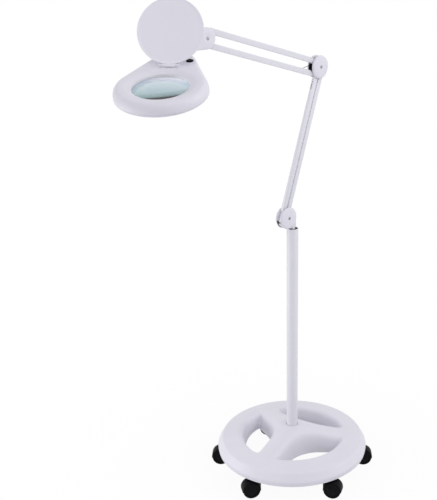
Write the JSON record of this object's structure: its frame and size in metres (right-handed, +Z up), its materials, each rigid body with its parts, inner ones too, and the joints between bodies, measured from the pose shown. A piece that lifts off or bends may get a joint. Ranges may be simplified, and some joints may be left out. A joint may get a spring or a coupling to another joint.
{
  "type": "magnifying lamp",
  "caption": "White magnifying lamp with a lidded round lens in a pear-shaped lit head, on two spring-balanced parallelogram arms, a pole and a round weighted base on casters.",
  "frame": {"origin": "on the floor under the pole's axis, at the middle of the caster circle", "axes": "+Z up along the pole; the arms lie in the XZ plane and reach to -X, where the lamp head is; +Y completes the right-handed frame"},
  "size_m": [0.8588, 0.4615, 1.3869],
  "materials": {
    "white_plastic": "satin moulded plastic, faint lavender white",
    "white_paint": "satin powder coat, faint lavender white",
    "black_plastic": "fine matt moulded black",
    "black_paint": "semi-matt black paint",
    "steel": "zinc-plated steel",
    "cast_iron": "raw grey casting",
    "lens_glass": "clear ground glass with a faint green edge",
    "board": "white solder mask",
    "led": "yellow phosphor",
    "diffuser": "frosted translucent plastic",
    "caster_plastic": "matt black nylon",
    "caster_rubber": "black tread"
  },
  "bodies": {
    "base": {"base_shell": "white_plastic", "base_weight": "cast_iron", "caster_sockets": "steel", "pole": "white_paint", "pole_bolt": "steel", "pole_bush": "black_plastic", "cable_gland": "black_plastic"},
    "shoulder": {"shoulder_post": "white_paint", "shoulder_plates": "black_paint", "shoulder_cover_front": "white_plastic", "shoulder_cover_rear": "white_plastic", "shoulder_pins": "steel"},
    "lower_link_a": {"lower_tube_a": "white_paint", "lower_ends_a": "white_paint", "lower_spring": "steel"},
    "lower_link_b": {"lower_tube_b": "white_paint", "lower_ends_b": "white_paint"},
    "elbow": {"elbow_plates": "black_paint", "elbow_cover_front": "white_plastic", "elbow_cover_rear": "white_plastic", "elbow_pins": "steel"},
    "upper_link_c": {"upper_tube_c": "white_paint", "upper_ends_c": "white_paint"},
    "upper_link_d": {"upper_tube_d": "white_paint", "upper_ends_d": "white_paint", "upper_spring": "steel"},
    "wrist": {"wrist_plates": "black_paint", "wrist_cover_front": "white_plastic", "wrist_cover_rear": "white_plastic", "wrist_pins": "steel", "wrist_block": "white_paint"},
    "knuckle": {"head_knuckle": "white_paint", "tilt_pin": "steel"},
    "head": {"head_lug": "white_paint", "head_top": "white_plastic", "head_bottom": "white_plastic", "lens": "lens_glass", "lens_ring": "white_plastic", "led_board": "board", "leds": "led", "diffuser": "diffuser", "driver": "board", "head_screws": "steel", "lid_pin": "steel", "switch_body": "black_plastic"},
    "switch_button": {"switch_button": "black_plastic"},
    "lid": {"lid": "white_plastic"},
    "caster_1": {"caster_1_hood": "caster_plastic"},
    "caster_2": {"caster_2_hood": "caster_plastic"},
    "caster_3": {"caster_3_hood": "caster_plastic"},
    "caster_4": {"caster_4_hood": "caster_plastic"},
    "caster_5": {"caster_5_hood": "caster_plastic"},
    "caster_6": {"caster_6_hood": "caster_plastic"},
    "wheels_1": {"caster_1_wheels": "caster_rubber"},
    "wheels_2": {"caster_2_wheels": "caster_rubber"},
    "wheels_3": {"caster_3_wheels": "caster_rubber"},
    "wheels_4": {"caster_4_wheels": "caster_rubber"},
    "wheels_5": {"caster_5_wheels": "caster_rubber"},
    "wheels_6": {"caster_6_wheels": "caster_rubber"}
  },
  "joints": [
    {"name": "pole_swivel", "type": "hinge", "parent": "base", "child": "shoulder", "pos_m": [0, 0, 0.75], "axis": [0, 0, 1], "range_deg": [-170, 170]},
    {"name": "lower_fold", "type": "hinge", "parent": "shoulder", "child": "lower_link_a", "pos_m": [-0.04577, 0, 0.78049], "axis": [0, -1, 0], "range_deg": [-3, 55], "deforming": ["lower_spring"]},
    {"name": "lower_link_b_turn", "type": "hinge", "parent": "shoulder", "child": "lower_link_b", "pos_m": [-0.0255, 0, 0.786], "axis": [0, -1, 0], "range_deg": [-3, 55]},
    {"name": "elbow_level", "type": "hinge", "parent": "lower_link_a", "child": "elbow", "pos_m": [0.0971, 0, 1.18395], "axis": [0, -1, 0], "range_deg": [-55, 3]},
    {"name": "upper_fold", "type": "hinge", "parent": "elbow", "child": "upper_link_c", "pos_m": [0.0781, 0, 1.20145], "axis": [0, 1, 0], "range_deg": [-60, 35]},
    {"name": "upper_link_d_turn", "type": "hinge", "parent": "elbow", "child": "upper_link_d", "pos_m": [0.0781, 0, 1.16644], "axis": [0, 1, 0], "range_deg": [-60, 35], "deforming": ["upper_spring"]},
    {"name": "wrist_level", "type": "hinge", "parent": "upper_link_c", "child": "wrist", "pos_m": [-0.29043, 0, 1.30573], "axis": [0, 1, 0], "range_deg": [-35, 60]},
    {"name": "head_swivel", "type": "hinge", "parent": "wrist", "child": "knuckle", "pos_m": [-0.38393, 0, 1.28248], "axis": [0, 0, 1], "range_deg": [-120, 50]},
    {"name": "head_tilt", "type": "hinge", "parent": "knuckle", "child": "head", "pos_m": [-0.38393, 0, 1.28248], "axis": [-0.6101, 0.7923, 0], "range_deg": [-45, 14]},
    {"name": "lid_hinge", "type": "hinge", "parent": "head", "child": "lid", "pos_m": [-0.45585, -0.05539, 1.24402], "axis": [-0.6101, 0.7923, 0], "range_deg": [-129, 0]},
    {"name": "switch_press", "type": "slide", "parent": "head", "child": "switch_button", "axis": [0.2224, 0.1712, -0.9598], "range_m": [0, 0.0015], "stiffness_N_per_m": 600, "springref_m": -0.002},
    {"name": "caster_1_swivel", "type": "hinge", "parent": "base", "child": "caster_1", "pos_m": [0.13492, -0.14217, 0.045], "axis": [0, 0, 1], "continuous": true},
    {"name": "caster_1_roll", "type": "hinge", "parent": "caster_1", "child": "wheels_1", "pos_m": [0.14869, -0.15668, 0.025], "axis": [0.7254, 0.6884, 0], "continuous": true},
    {"name": "caster_2_swivel", "type": "hinge", "parent": "base", "child": "caster_2", "pos_m": [0.19059, 0.04575, 0.045], "axis": [0, 0, 1], "continuous": true},
    {"name": "caster_2_roll", "type": "hinge", "parent": "caster_2", "child": "wheels_2", "pos_m": [0.21018, 0.04177, 0.025], "axis": [0.1994, 0.9799, 0], "continuous": true},
    {"name": "caster_3_swivel", "type": "hinge", "parent": "base", "child": "caster_3", "pos_m": [0.05567, 0.18793, 0.045], "axis": [0, 0, 1], "continuous": true},
    {"name": "caster_3_roll", "type": "hinge", "parent": "caster_3", "child": "wheels_3", "pos_m": [0.06943, 0.17342, 0.025], "axis": [0.7254, 0.6884, 0], "continuous": true},
    {"name": "caster_4_swivel", "type": "hinge", "parent": "base", "child": "caster_4", "pos_m": [-0.13492, 0.14217, 0.045], "axis": [0, 0, 1], "continuous": true},
    {"name": "caster_4_roll", "type": "hinge", "parent": "caster_4", "child": "wheels_4", "pos_m": [-0.14869, 0.15668, 0.025], "axis": [-0.7254, -0.6884, 0], "continuous": true},
    {"name": "caster_5_swivel", "type": "hinge", "parent": "base", "child": "caster_5", "pos_m": [-0.19059, -0.04575, 0.045], "axis": [0, 0, 1], "continuous": true},
    {"name": "caster_5_roll", "type": "hinge", "parent": "caster_5", "child": "wheels_5", "pos_m": [-0.20764, -0.03531, 0.025], "axis": [-0.5225, -0.8526, 0], "continuous": true},
    {"name": "caster_6_swivel", "type": "hinge", "parent": "base", "child": "caster_6", "pos_m": [-0.05567, -0.18793, 0.045], "axis": [0, 0, 1], "continuous": true},
    {"name": "caster_6_roll", "type": "hinge", "parent": "caster_6", "child": "wheels_6", "pos_m": [-0.04612, -0.2055, 0.025], "axis": [0.8788, 0.4772, 0], "continuous": true}
  ],
  "couplings": [
    {"joint": "lower_link_b_turn", "follows": "lower_fold", "ratio": 1},
    {"joint": "elbow_level", "follows": "lower_fold", "ratio": -1},
    {"joint": "upper_link_d_turn", "follows": "upper_fold", "ratio": 1},
    {"joint": "wrist_level", "follows": "upper_fold", "ratio": -1}
  ]
}
